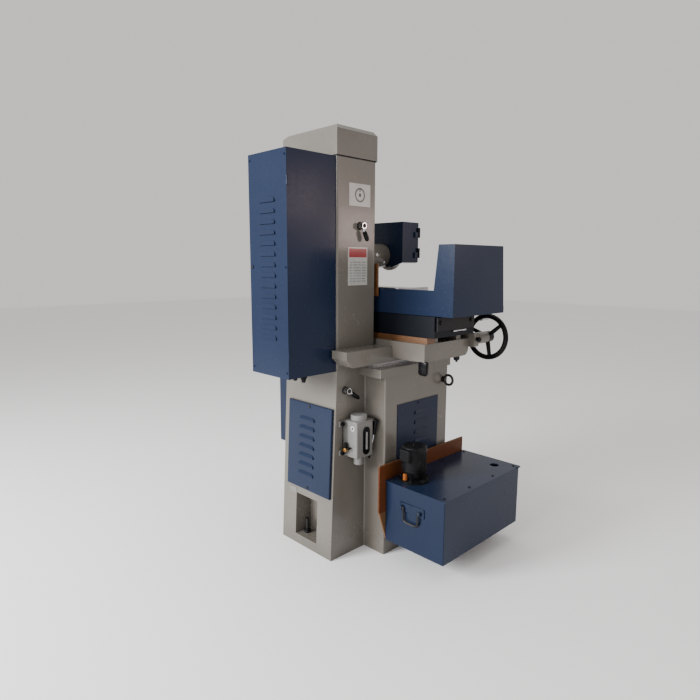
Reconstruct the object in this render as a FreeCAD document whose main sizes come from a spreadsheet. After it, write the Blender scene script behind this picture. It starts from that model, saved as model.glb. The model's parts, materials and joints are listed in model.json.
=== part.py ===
import FreeCAD, Part
import math
import operator
import os

import Sketcher
from FreeCAD import Placement, Rotation, Vector

# Surface grinder. +X is the operator's right, +Y the rear, +Z up; the origin is
# on the floor, in the middle of the base casting's underside.

doc = FreeCAD.newDocument("SurfaceGrinder")
os.makedirs("parts", exist_ok=True)

# ---------------------------------------------------------------- driving sizes

DRIVING_SIZES = {
    # base casting and its pedestal
    "base_half": 270, "base_front": -300, "base_rear": 113, "base_top": 750,
    "wall_thick": 20, "floor_thick": 25, "ledge_half": 278, "ledge_front": -306,
    "ledge_rear": 150, "ledge_top": 785, "pedestal_foot": 306,
    "pocket_low": 40, "pocket_high": 223, "bolt_radius": 8,
    # column and its cap
    "column_half": 157, "column_front": 62, "column_rear": 270, "column_top": 1590,
    "cap_top": 1700, "cap_front": 42, "cap_lip": 3, "cap_bevel": 16, "slot_half": 62,
    "slot_low": 1040, "slot_high": 1560, "way_inner": 66, "way_outer": 88, "way_face": 48,
    # vent covers
    "cover_width": 268, "cover_low": 257, "cover_high": 626, "cover_sheet": 3, "pan_depth": 12,
    "rear_cover_x": -12.5, "left_cover_y": -94, "right_cover_y": -158, "window_half": 116,
    "louvre_length": 92, "louvre_height": 17, "louvre_rise": 5,
    # electrical cabinet and control box
    "cabinet_left": -150, "cabinet_right": 76, "cabinet_rear": 501,
    "cabinet_low": 778, "cabinet_high": 1585, "sheet_thick": 3,
    "control_left": 270, "control_right": 372, "control_front": -18,
    "control_rear": 150, "control_low": 355, "control_high": 745,
    # cross ways and saddle
    "cross_way_inner": 168, "cross_way_outer": 232, "cross_way_top": 802.7,
    "arm_inner": 160, "arm_outer": 242, "arm_low": 803, "arm_high": 866, "arm_rear": 300,
    "saddle_half": 407, "saddle_front": -249, "saddle_rear": 46,
    "saddle_low": 818, "saddle_top": 888,
    # table and its drive
    "table_half": 438, "table_front": -236, "table_rear": 30,
    "table_low": 913, "table_top": 998, "pinion_x": -100, "pinion_radius": 20,
    "rack_low": 897, "pulley_radius": 15,
    # handwheels
    "wheel_radius": 101, "feed_wheel_radius": 91, "rim_radius": 11, "shaft_radius": 10, "running_gap": 0.05,
    "table_wheel_x": -408, "table_wheel_y": -390, "table_wheel_z": 882,
    "feed_x": 110, "feed_z": 695, "feed_wheel_y": -352,
    # splash guard and chuck
    "tray_left": -520, "tray_right": 470, "tray_front": -324, "tray_low_wall": 1095,
    "tray_high_wall": 1265, "tray_sheet": 3,
    "chuck_half": 225, "chuck_front": -203, "chuck_rear": -3, "chuck_top": 1092,
    # spindle head
    "spindle_z": 1229, "carriage_half": 95, "carriage_front": 2, "carriage_rear": 61.7,
    "carriage_low": 1150, "carriage_high": 1360, "housing_radius": 52,
    "guard_half": 120, "guard_front": -257, "guard_rear": -150,
    "guard_low": 1200, "guard_high": 1373, "guard_sheet": 7,
    "disc_radius": 64, "disc_thick": 16, "disc_y": -203, "arbor_radius": 15,
    "motor_radius": 75, "screw_radius": 12, "screw_x": 110, "screw_y": 150,
    # lubrication pump
    "lube_left": -230, "lube_front": 140, "lube_rear": 232, "lube_low": 430, "lube_high": 580,
    # coolant tank
    "tank_left": -578, "tank_right": -288, "tank_front": -412, "tank_rear": 124,
    "tank_low": 80, "tank_high": 327, "lid_thick": 6, "pump_x": -360, "pump_y": 36,
    "return_x": -498, "return_y": -345, "return_radius": 19,
}


class Size:
    """A length known both as a number and as the sheet expression behind it."""

    def __init__(self, value, text):
        self.value = float(value)
        self.text = text

    def __add__(self, other):
        return combined(self, "+", other)

    def __radd__(self, other):
        return combined(other, "+", self)

    def __sub__(self, other):
        return combined(self, "-", other)

    def __rsub__(self, other):
        return combined(other, "-", self)

    def __mul__(self, other):
        return combined(self, "*", other)

    def __rmul__(self, other):
        return combined(other, "*", self)

    def __truediv__(self, other):
        return combined(self, "/", other)

    def __neg__(self):
        return combined(0, "-", self)


OPERATIONS = {"+": operator.add, "-": operator.sub, "*": operator.mul, "/": operator.truediv}


def as_size(number):
    return number if isinstance(number, Size) else Size(number, f"({float(number)!r})")


def combined(left, sign, right):
    left, right = as_size(left), as_size(right)
    return Size(OPERATIONS[sign](left.value, right.value), f"({left.text} {sign} {right.text})")


class Sizes:
    """The driving sizes, each an attribute that carries its sheet expression."""

    def __init__(self, table):
        self.sheet = doc.addObject("Spreadsheet::Sheet", "Sizes")
        for row, (alias, value) in enumerate(table.items(), start=1):
            self.sheet.set(f"A{row}", alias)
            self.sheet.set(f"B{row}", str(value))
            self.sheet.setAlias(f"B{row}", alias)
            setattr(self, alias, Size(value, f"Sizes.{alias}"))
        doc.recompute()


s = Sizes(DRIVING_SIZES)

# --------------------------------------------------------------- shape helpers

TURN_TO = {
    "X": Rotation(Vector(0, 1, 0), 90),
    "Y": Rotation(Vector(1, 0, 0), -90),
    "Z": Rotation(),
}


def bind(thing, prop, size):
    thing.setExpression(prop, as_size(size).text)


def put(thing, x, y, z):
    bind(thing, "Placement.Base.x", x)
    bind(thing, "Placement.Base.y", y)
    bind(thing, "Placement.Base.z", z)
    return thing


def block(x, y, z):
    """A box between the low and high values given for each axis."""
    solid = doc.addObject("Part::Box", "block")
    bind(solid, "Length", x[1] - x[0])
    bind(solid, "Width", y[1] - y[0])
    bind(solid, "Height", z[1] - z[0])
    return put(solid, x[0], y[0], z[0])


def rod(axis, start, length, radius):
    """A round bar from start, running along +X, +Y or +Z."""
    solid = doc.addObject("Part::Cylinder", "rod")
    solid.Placement = Placement(Vector(), TURN_TO[axis])
    bind(solid, "Height", length)
    bind(solid, "Radius", radius)
    return put(solid, *start)


def cone(axis, start, length, first, last):
    """A round bar whose radius goes from first to last."""
    solid = doc.addObject("Part::Cone", "cone")
    solid.Placement = Placement(Vector(), TURN_TO[axis])
    bind(solid, "Height", length)
    bind(solid, "Radius1", first)
    bind(solid, "Radius2", last)
    return put(solid, *start)


def ball(centre, radius):
    solid = doc.addObject("Part::Sphere", "ball")
    bind(solid, "Radius", radius)
    return put(solid, *centre)


def hoop(axis, centre, ring_radius, bar_radius):
    solid = doc.addObject("Part::Torus", "hoop")
    solid.Placement = Placement(Vector(), TURN_TO[axis])
    bind(solid, "Radius1", ring_radius)
    bind(solid, "Radius2", bar_radius)
    return put(solid, *centre)


def prism(plane, outline, low, high):
    """A pad of a closed outline drawn in the XY, XZ or YZ plane."""
    body = doc.addObject("PartDesign::Body", "prism")
    sketch = body.newObject("Sketcher::SketchObject", "outline")
    support = [f for f in body.Origin.OriginFeatures if f.Role == f"{plane}_Plane"][0]
    sketch.AttachmentSupport = [(support, "")]
    sketch.MapMode = "FlatFace"
    points = [(as_size(a), as_size(b)) for a, b in outline]
    corners = [Vector(a.value, b.value, 0) for a, b in points]
    for start, end in zip(corners, corners[1:] + corners[:1]):
        sketch.addGeometry(Part.LineSegment(start, end), False)
    for line in range(len(corners)):
        sketch.addConstraint(Sketcher.Constraint("Coincident", line, 2, (line + 1) % len(corners), 1))
    for line, point in enumerate(points):
        for kind, size in zip(("DistanceX", "DistanceY"), point):
            index = sketch.addConstraint(Sketcher.Constraint(kind, line, 1, size.value))
            sketch.setExpression(f"Constraints[{index}]", size.text)
    pad = body.newObject("PartDesign::Pad", "pad")
    pad.Profile = sketch
    bind(pad, "Length", high - low)
    sketch.Visibility = False
    offset = {"XY": (0, 0, low), "XZ": (0, high, 0), "YZ": (low, 0, 0)}[plane]
    return put(body, *offset)


def join(*solids):
    if len(solids) == 1:
        return solids[0]
    fused = doc.addObject("Part::MultiFuse", "join")
    fused.Shapes = list(solids)
    fused.Refine = True
    return fused


def carve(stock, *tools):
    cut = doc.addObject("Part::Cut", "carve")
    cut.Base = stock
    cut.Tool = join(*tools)
    return cut


def group(*solids):
    """Separate solids that make one node, such as a set of screws."""
    pack = doc.addObject("Part::Compound", "group")
    pack.Links = list(solids)
    return pack


def edges_along(axis, test=None):
    """A picker of the straight edges that run along an axis."""
    direction = {"X": Vector(1, 0, 0), "Y": Vector(0, 1, 0), "Z": Vector(0, 0, 1)}[axis]

    def pick(edge):
        if not isinstance(edge.Curve, Part.Line):
            return False
        aligned = abs(abs(edge.Curve.Direction.dot(direction)) - 1) < 1e-6
        return aligned and (test is None or test(edge.CenterOfMass))

    return pick


def soften(stock, radius, pick, kind="Part::Fillet"):
    """Round (or chamfer) the edges of stock that pick accepts."""
    doc.recompute()
    eased = doc.addObject(kind, "soften")
    eased.Base = stock
    chosen = [i for i, edge in enumerate(stock.Shape.Edges, start=1) if pick(edge)]
    eased.Edges = [(i, as_size(radius).value, as_size(radius).value) for i in chosen]
    return eased


def tilted(solid, axis, degrees, centre):
    """The solid turned about an axis through centre."""
    turn = Rotation(axis, degrees)
    pivot = Vector(*[as_size(c).value for c in centre])
    solid.Placement = Placement(pivot, turn).multiply(Placement(-pivot, Rotation()))
    return solid


def mirrored(solid, normal=Vector(1, 0, 0)):
    twin = doc.addObject("Part::Mirroring", "mirrored")
    twin.Source = solid
    twin.Normal = normal
    return twin


NODES = {}


def node(label, solid):
    """Give a finished sub-part the name that its file takes."""
    solid.Label = label
    NODES[label] = solid
    return solid


def span(centre, width):
    return (centre - width / 2, centre + width / 2)


# ------------------------------------------------------------- base and column

def make_base():
    box = block((-s.base_half, s.base_half), (s.base_front, s.base_rear), (0, s.base_top + 1))
    ledge = block((-s.ledge_half, s.ledge_half), (s.ledge_front, s.ledge_rear),
                  (s.base_top, s.ledge_top))
    pedestal = prism("YZ", [(60, 0), (s.pedestal_foot, 0), (s.column_rear, s.cabinet_low),
                            (s.column_rear, s.ledge_top), (60, s.ledge_top)],
                     -s.column_half, s.column_half)
    outside = soften(join(box, ledge, pedestal), 6,
                     edges_along("Z", lambda c: c.z < s.base_top.value))
    inner = s.base_half - s.wall_thick
    room = block((-inner, inner), (s.base_front + s.wall_thick, s.base_rear - s.wall_thick),
                 (s.floor_thick, s.base_top - s.wall_thick))
    shaft_room = prism("YZ", [(80, s.floor_thick),
                              (s.pedestal_foot - s.wall_thick, s.floor_thick),
                              (s.column_rear - s.wall_thick, s.cabinet_low),
                              (s.column_rear - s.wall_thick, s.ledge_top + 5),
                              (80, s.ledge_top + 5)],
                       s.wall_thick - s.column_half, s.column_half - s.wall_thick)
    shell = carve(outside, join(room, shaft_room))
    rear_niche = block((-78, 82), (205, 287), (s.floor_thick - 1, s.pocket_high + 12))
    front_niches = [block(x, (-282, -228), (s.floor_thick - 1, 152)) for x in ((-247, -153), (153, 247))]
    shelf = block((60, 140), (105, 195), (742, 768))
    shelf_tie = block((60, 140), (78, 110), (742, 768))
    ribbed = join(shell, rear_niche, *front_niches, shelf, shelf_tie)
    window = (s.cover_low + 20, s.cover_high - 20)
    cuts = [
        block((-66, 70), (217, 330), (s.pocket_low, s.pocket_high)),
        block(span(s.rear_cover_x, 2 * s.window_half), (235, 330), window),
        block((-300, -240), span(s.left_cover_y, 2 * s.window_half), window),
        block((240, 300), span(s.right_cover_y, 2 * s.window_half), window),
        block((-138, -82), (-246, 34), (s.base_top - s.wall_thick - 1, s.ledge_top + 1)),
        rod("Y", (-s.feed_x, s.base_front - 20, s.feed_z), 60, s.shaft_radius + s.running_gap),
        rod("Y", (s.feed_x, s.base_front - 20, s.feed_z), 60, s.shaft_radius + s.running_gap),
        rod("Z", (s.screw_x, s.screw_y, 730), 50, s.screw_radius + s.running_gap),
        rod("Z", (40, 262, -1), 60, s.bolt_radius + 0.1),
        rod("X", (-s.column_half - 5, 228, 698), 30, 6 + s.running_gap),
    ]
    for x in (-200, 200):
        cuts.append(block(span(as_size(x), 70), (-330, -240), (s.pocket_low, 140)))
        cuts.append(rod("Z", (x, -270, -1), 60, s.bolt_radius + 0.1))
    node("base_casting", carve(ribbed, *cuts))


def make_column():
    post = block((-s.column_half, s.column_half), (s.column_front, s.column_rear),
                 (s.ledge_top, s.column_top))
    post = soften(post, 6, edges_along("Z"))
    ways = [block(x, (s.way_face, s.column_front + 1), (s.slot_low - 20, s.slot_high + 10))
            for x in ((-s.way_outer, -s.way_inner), (s.way_inner, s.way_outer))]
    inner = s.column_half - s.wall_thick
    shaft_room = block((-inner, inner), (s.column_front + s.wall_thick, s.column_rear - s.wall_thick),
                       (s.ledge_top - 5, s.column_top + 5))
    slot = block((-s.slot_half, s.slot_half), (s.column_front - 1, s.column_front + 30),
                 (s.slot_low, s.slot_high))
    cable_way = rod("Y", (-40, s.column_rear - 40, 850), 60, 16)
    stud_hole = rod("X", (-s.column_half - 5, 150, 1338), 30, 6 + s.running_gap)
    node("column_casting", carve(join(post, *ways), shaft_room, slot, cable_way, stud_hole))


def make_cap():
    side = s.column_half + s.cap_lip
    shell = block((-side, side), (s.cap_front, s.column_rear + s.cap_lip), (s.column_top, s.cap_top))
    shell = soften(shell, 24, edges_along("Z", lambda c: c.y < s.cap_front.value + 1))
    shell = soften(shell, s.cap_bevel, lambda edge: edge.CenterOfMass.z > s.cap_top.value - 1,
                   "Part::Chamfer")
    hollow = block((8 - side, side - 8), (s.cap_front + 8, s.column_rear - 5),
                   (s.column_top - 5, s.cap_top - s.cap_bevel - 8))
    node("column_cap", carve(shell, hollow))


def make_cross_ways():
    bars = [block(x, (s.base_front + 4, s.ledge_rear - 4), (s.ledge_top, s.cross_way_top))
            for x in ((-s.cross_way_outer, -s.cross_way_inner), (s.cross_way_inner, s.cross_way_outer))]
    node("cross_ways", group(*bars))


# ------------------------------------------------------------------ vent covers

def louvre(middle, height, face):
    """A pressed hood with quarter-round ends on a face that looks along +Y."""
    side = span(middle, s.louvre_length)
    low, high = span(as_size(height), s.louvre_height)
    front = soften(block(side, (face - 0.5, face + s.louvre_rise), (low, high)), s.louvre_height - 2,
                   edges_along("Y", lambda c: c.z > height))
    wedge = prism("YZ", [(face - 0.5, high), (face + 1, high), (face + s.louvre_rise, low + 4),
                         (face + s.louvre_rise, low), (face - 0.5, low)], *side)
    hood = doc.addObject("Part::MultiCommon", "hood")
    hood.Shapes = [front, wedge]
    return hood


def louvre_slot(middle, height, face):
    """The gap under a hood, cut through the sheet behind it."""
    low = height - s.louvre_height / 2
    return block(span(middle, s.louvre_length - 8), (face - 20, face + s.louvre_rise - 1.2),
                 (low - 1, low + 2.5))


def louvred_sheet(sheet, middle, heights, face):
    hoods = [louvre(middle, height, face) for height in heights]
    slots = [louvre_slot(middle, height, face) for height in heights]
    return carve(join(sheet, *hoods), *slots)


def side_cover(side_sign, middle_y, louvre_shift):
    """A flat louvred cover on the left (-1) or right (+1) face of the base."""
    sheet = block(span(as_size(0), s.cover_width), (0, s.cover_sheet), (s.cover_low, s.cover_high))
    cover = louvred_sheet(sheet, as_size(louvre_shift), [575 - 42 * i for i in range(7)], s.cover_sheet)
    cover.Placement = Placement(Vector(side_sign * s.base_half.value, middle_y.value, 0),
                                Rotation(Vector(0, 0, 1), -90 * side_sign))
    return cover


def make_covers():
    """Three louvred covers: one on the slanted rear of the pedestal, one per side."""
    slant = math.degrees(math.atan2((s.pedestal_foot - s.column_rear).value, s.cabinet_low.value))
    pivot = (0, s.column_rear, s.cabinet_low)
    face = s.column_rear + s.pan_depth
    pan = block(span(s.rear_cover_x, s.cover_width), (s.column_rear, face), (s.cover_low, s.cover_high))
    pan = soften(pan, 3, lambda edge: edge.CenterOfMass.y > face.value - 1)
    hollow = block(span(s.rear_cover_x, s.cover_width - 2 * s.cover_sheet),
                   (s.column_rear - 1, face - s.cover_sheet),
                   (s.cover_low + s.cover_sheet, s.cover_high - s.cover_sheet))
    rear = louvred_sheet(carve(pan, hollow), as_size(0), [562 - 39 * i for i in range(7)], face)
    node("vent_cover_rear", tilted(rear, Vector(1, 0, 0), slant, pivot))

    node("vent_covers_side", group(side_cover(-1, s.left_cover_y, -21), side_cover(1, s.right_cover_y, 0)))

    screws = []
    for z in (s.cover_low + 12, s.cover_high - 12):
        head = rod("Y", (s.rear_cover_x, face, z), 3, 5)
        screws.append(tilted(group(head), Vector(1, 0, 0), slant, pivot))
        screws.append(rod("X", (-s.base_half - s.cover_sheet - 3, s.left_cover_y, z), 3, 5))
        screws.append(rod("X", (s.base_half + s.cover_sheet, s.right_cover_y, z), 3, 5))
    for y in (103, -60, -230, -395):
        for x in (s.tank_left + 18, s.tank_right - 18):
            screws.append(rod("Z", (x, y, s.tank_high + s.lid_thick), 3, 5))
    node("cover_screws", group(*screws))


# --------------------------------------------------- small parts on the castings

def make_levelling_bolts():
    bolts = []
    for x, y in ((40, 262), (-200, -270), (200, -270)):
        shank = rod("Z", (x, y, 0), 104, s.bolt_radius)
        nut = rod("Z", (x, y, s.pocket_low), 13, 14)
        bolts.append(join(shank, nut))
    node("levelling_bolts", group(*bolts))


def make_lifting_eyes():
    ring = hoop("Y", (-s.base_half - 30, -266, 690), 21.5, 5.5)
    collar = rod("X", (-s.base_half - 7, -266, 690), 7, 13)
    left = join(ring, collar)
    node("lifting_eyes", group(left, mirrored(left)))


def make_labels():
    pictogram = block((-s.column_half - 1.2, -s.column_half), (94, 208), (1412, 1496))
    data = block((-s.column_half - 1.5, -s.column_half), (108, 213), (1110, 1257))
    node("label_plates", group(pictogram, data))


def bar(start, end, radius, end_radius=None):
    """A round bar from one point to another, tapered if it has an end radius."""
    start_sizes = [as_size(c) for c in start]
    run = Vector(*[as_size(b).value - a.value for a, b in zip(start_sizes, end)])
    if end_radius is None:
        solid = rod("Z", start, run.Length, radius)
    else:
        solid = cone("Z", start, run.Length, radius, end_radius)
    solid.Placement = Placement(solid.Placement.Base, Rotation(Vector(0, 0, 1), run))
    return solid


def make_clamp_lever(label, y, z, tip):
    """A chrome lever whose stud goes through the left wall of the casting."""
    face = -s.column_half
    stud = rod("X", (face - 8, y, z), 28, 6)
    hub = rod("X", (face - 26, y, z), 25.7, 12)
    arm = bar((face - 14, y, z), (face - 20, *tip), 6)
    node(label, join(stud, hub, arm, ball((face - 20, *tip), 7)))


# ------------------------------------------------------------------- electrics

def make_cabinet():
    sheet = s.sheet_thick
    side = (s.cabinet_left, s.cabinet_right)
    height = (s.cabinet_low, s.cabinet_high)
    door_front = s.cabinet_rear - sheet
    outer = block(side, (s.column_rear, door_front - 0.3), height)
    inner = block((side[0] + sheet, side[1] - sheet), (s.column_rear + sheet, s.cabinet_rear + 5),
                  (height[0] + sheet, height[1] - sheet))
    cable_way = rod("Y", (-40, s.column_rear - 5, 850), 20, 16)
    node("cabinet_body", carve(outer, inner, cable_way))

    panel = block(side, (door_front, s.cabinet_rear), height)
    louvred = louvred_sheet(panel, as_size(-36), [1418 - 38 * i for i in range(14)], s.cabinet_rear)
    latch_hole = rod("Y", (62, door_front - 5, 1180), 12, 5 + s.running_gap)
    node("cabinet_door", carve(louvred, latch_hole))

    knob = rod("Y", (62, s.cabinet_rear + 0.3, 1180), 2.5, 7.5)
    stem = rod("Y", (62, door_front - 9, 1180), 14, 5)
    cam = block((56, 71), (door_front - 12, door_front - 8), (1174, 1186))
    node("cabinet_latch", join(knob, stem, cam))

    hinges = []
    for z in (850, 1460):
        leaf = block((s.cabinet_left - 2, s.cabinet_left), (door_front - 14, door_front - 0.3), (z, z + 32))
        neck = block((s.cabinet_left - 4, s.cabinet_left - 0.4), (door_front - 2, s.cabinet_rear),
                     (z, z + 32))
        knuckle = rod("Z", (s.cabinet_left - 3.3, s.cabinet_rear + 0.5, z), 32, 2.8)
        hinges.append(join(leaf, neck, knuckle))
    node("cabinet_hinges", group(*hinges))


def make_switchgear():
    back = s.column_rear + s.sheet_thick
    plate = block((-137, 62), (back, back + 3), (880, 1550))
    pieces = [plate]
    for z in (960, 1130, 1300, 1450):
        pieces.append(block((-130, 55), (back + 2, back + 11), (z + 22, z + 58)))
        for x in (-124, -76, -28, 12):
            pieces.append(block((x, x + 40), (back + 10, back + 85), (z, z + 80)))
    node("switchgear", join(*pieces))


def make_control_box():
    sheet = s.sheet_thick
    outer = soften(block((s.control_left, s.control_right), (s.control_front, s.control_rear),
                         (s.control_low, s.control_high)), 4,
                   lambda edge: edge.CenterOfMass.x > s.control_left.value + 1)
    inner = block((s.control_left + sheet, s.control_right - sheet),
                  (s.control_front + sheet, s.control_rear - sheet),
                  (s.control_low + sheet, s.control_high - sheet))
    controls = {"start": (300, 700), "stop": (342, 700), "emergency": (321, 640), "selector": (321, 578)}
    bezels = [rod("Y", (x, s.control_front - 3, z), 4, 15) for x, z in controls.values()]
    holes = [rod("Y", (x, s.control_front - 5, z), 20, 8 + s.running_gap) for x, z in controls.values()]
    node("control_box", carve(join(outer, *bezels), inner, *holes))

    bezel_face = s.control_front - 3

    def shank(place, head_gap):
        return rod("Y", (place[0], bezel_face - head_gap, place[1]), 18 + head_gap, 8)

    for name in ("start", "stop"):
        place = controls[name]
        head = rod("Y", (place[0], bezel_face - 11, place[1]), 7, 12)
        node(f"{name}_button", join(head, shank(place, 5)))
    place = controls["emergency"]
    mushroom = soften(rod("Y", (place[0], bezel_face - 26, place[1]), 16, 20), 5,
                      lambda edge: edge.CenterOfMass.y < bezel_face.value - 20)
    node("emergency_button", join(mushroom, shank(place, 12)))
    place = controls["selector"]
    disc = rod("Y", (place[0], bezel_face - 8, place[1]), 7.7, 13)
    blade = block(span(as_size(place[0]), as_size(7)), (bezel_face - 20, bezel_face - 7),
                  span(as_size(place[1]), as_size(24)))
    node("selector_knob", join(disc, blade, shank(place, 2)))


def make_glands():
    glands = []
    spots = [(321, y, s.control_low) for y in (0, 50, 100)]
    spots += [(x, 400, s.cabinet_low) for x in (-110, -60)]
    for x, y, z in spots:
        nut = rod("Z", (x, y, z - 14), 14, 13)
        dome = cone("Z", (x, y, z - 30), 16.5, 7, 11)
        glands.append(join(nut, dome))
    node("cable_glands", group(*glands))


# ------------------------------------------------------------- lubrication pump

def make_lube_pump():
    middle = (-194, 186)
    lever_spot = (-208, 446)
    case = soften(block((s.lube_left, -s.column_half), (s.lube_front, s.lube_rear),
                        (s.lube_low, s.lube_high)), 5,
                  lambda edge: edge.CenterOfMass.x < -s.column_half.value - 1)
    sump = rod("Z", (*middle, s.lube_low - 35), 40, 20)
    lugs = [block((-s.column_half - 8, -s.column_half), (s.lube_rear - 1, s.lube_rear + 30), (z, z + 22))
            for z in (436, 555)]
    boss = rod("Y", (lever_spot[0], s.lube_front - 4, lever_spot[1]), 6, 12)
    reservoir = block((s.lube_left + 7, -s.column_half - 7), (s.lube_front + 7, s.lube_rear - 7),
                      (s.lube_low + 32, s.lube_high - 8))
    filler = rod("Z", (*middle, s.lube_high - 20), 25, 15 + s.running_gap)
    lever_bore = rod("Y", (lever_spot[0], s.lube_front - 10, lever_spot[1]), 20, 4 + s.running_gap)
    node("lube_pump_body", carve(join(case, sump, *lugs, boss), reservoir, filler, lever_bore))

    cap = soften(rod("Z", (*middle, s.lube_high + 0.3), 20, 33), 3,
                 lambda edge: edge.CenterOfMass.z > s.lube_high.value + 19)
    stem = rod("Z", (*middle, s.lube_high - 12), 14, 15)
    node("lube_pump_cap", join(cap, stem))

    hub = rod("Y", (lever_spot[0], s.lube_front - 14.3, lever_spot[1]), 10, 11)
    pin = rod("Y", (lever_spot[0], s.lube_front - 6, lever_spot[1]), 14, 4)
    y = s.lube_front - 9.5
    arm = bar((-200, y, 408), (-226, y, 518), 3.5)
    grip = bar((-225, y, 512), (-236, y, 572), 6.5, 10)
    node("lube_pump_lever", join(hub, pin, arm, ball((-200, y, 408), 4.5), grip,
                                 ball((-236, y, 571), 10.2)))

    ends = [rod("X", (s.lube_left - 3, 180, z), 3, 18) for z in (459, 537)]
    middle_block = block((s.lube_left - 3, s.lube_left), (162, 198), (459, 537))
    node("lube_sight_window", join(middle_block, *ends))


# ------------------------------------------------------------------- handwheels

def handwheel(x, y, z, radius, grip_angle, first_spoke):
    """Rim, three spokes, hub and grip pin; angles run from +Z towards -X."""
    rim = hoop("Y", (x, y, z), radius - s.rim_radius, s.rim_radius)
    hub = rod("Y", (x, y - 18, z), 36, 24)
    pieces = [rim, hub]
    reach = (radius - s.rim_radius).value
    for i in range(3):
        turn = math.radians(first_spoke + 120 * i)
        tip = (x - reach * math.sin(turn), y, z + reach * math.cos(turn))
        pieces.append(bar((x, y, z), tip, 10.5, 8))
    turn = math.radians(grip_angle)
    grip_x = x - reach * math.sin(turn)
    grip_z = z + reach * math.cos(turn)
    pieces.append(rod("Y", (grip_x, y - 74, grip_z), 74, 6))
    pieces.append(rod("Y", (grip_x, y - 16, grip_z), 16, 9.5))
    grip = carve(rod("Y", (grip_x, y - 73, grip_z), 56, 12.5),
                 rod("Y", (grip_x, y - 80, grip_z), 70, 6 + s.running_gap))
    grip = soften(grip, 4, lambda edge: abs(edge.Length - 25 * math.pi) < 0.1)
    return pieces, grip


def make_feed_wheels():
    """The two wheels on the front of the base: cross feed and elevation."""
    for label, x, grip_angle in (("cross", -s.feed_x, 40), ("elevating", s.feed_x, -40)):
        pieces, grip = handwheel(x, s.feed_wheel_y, s.feed_z, s.feed_wheel_radius, grip_angle, grip_angle)
        pieces.append(rod("Y", (x, s.base_front - 42, s.feed_z), 41.7, 30))
        rear_end = 100 if label == "cross" else s.screw_y - 26
        pieces.append(rod("Y", (x, s.feed_wheel_y, s.feed_z), rear_end - s.feed_wheel_y, s.shaft_radius))
        if label == "elevating":
            pieces.append(cone("Y", (x, s.screw_y - 26, s.feed_z), 12, 25.5, 13.5))
        node(f"{label}_wheel", join(*pieces))
        node(f"{label}_grip", grip)


def make_elevating_screw():
    spot = (s.screw_x, s.screw_y)
    thread = rod("Z", (*spot, s.feed_z + 14), 1500 - s.feed_z - 14, s.screw_radius)
    gear = cone("Z", (*spot, s.feed_z + 14), 12, 13.5, 25.5)
    collar = rod("Z", (*spot, 768.3), 10, 20)
    node("elevating_screw", join(thread, gear, collar))


# ---------------------------------------------------------------------- saddle

def make_saddle():
    deck = block((-s.saddle_half, s.saddle_half), (s.saddle_front, s.saddle_rear),
                 (s.saddle_low, s.saddle_top))
    deck = soften(deck, 30, edges_along("X", lambda c: c.y < s.saddle_front.value + 1
                                        and c.z < s.saddle_low.value + 1))
    pieces = [deck]
    profile = [(s.saddle_rear - 4, s.arm_low), (s.arm_rear - 38, s.arm_low), (s.arm_rear, s.arm_low + 32),
               (s.arm_rear, s.arm_high), (s.saddle_rear - 4, s.arm_high)]
    for side in ((-s.arm_outer, -s.arm_inner), (s.arm_inner, s.arm_outer)):
        pieces.append(block(side, (s.saddle_front + 32, s.saddle_rear), (s.arm_low, s.saddle_low + 2)))
        pieces.append(prism("YZ", profile, *side))
    for y in ((-200, -170), (-45, -15)):
        pieces.append(block((7 - s.saddle_half, s.saddle_half - 7), y, (s.saddle_top, s.table_low - 0.3)))
    pieces.append(block(span(-s.feed_x, as_size(36)), (-60, -20), (s.feed_z - 24, s.saddle_low + 2)))
    pinion_z = s.rack_low - 0.3 - s.pinion_radius
    node("saddle_casting", carve(
        join(*pieces),
        rod("Y", (-s.feed_x, -70, s.feed_z), 60, s.shaft_radius + s.running_gap),
        block(span(s.pinion_x, as_size(52)), (-126, -88), (846, s.saddle_top + 1)),
        rod("Y", (s.pinion_x, s.saddle_front - 5, pinion_z), 140, 8 + s.running_gap)))


def make_way_guard():
    """The brown strip that closes the gap under the table's rear edge."""
    end = s.saddle_half - 2
    height = (s.saddle_top, 911)
    pieces = [block((-end, end), (24, s.table_rear), height)]
    for side in ((-end, 4 - end), (end - 4, end)):
        pieces.append(block(side, (-20, s.table_rear), height))
    node("way_guard", join(*pieces))


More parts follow.
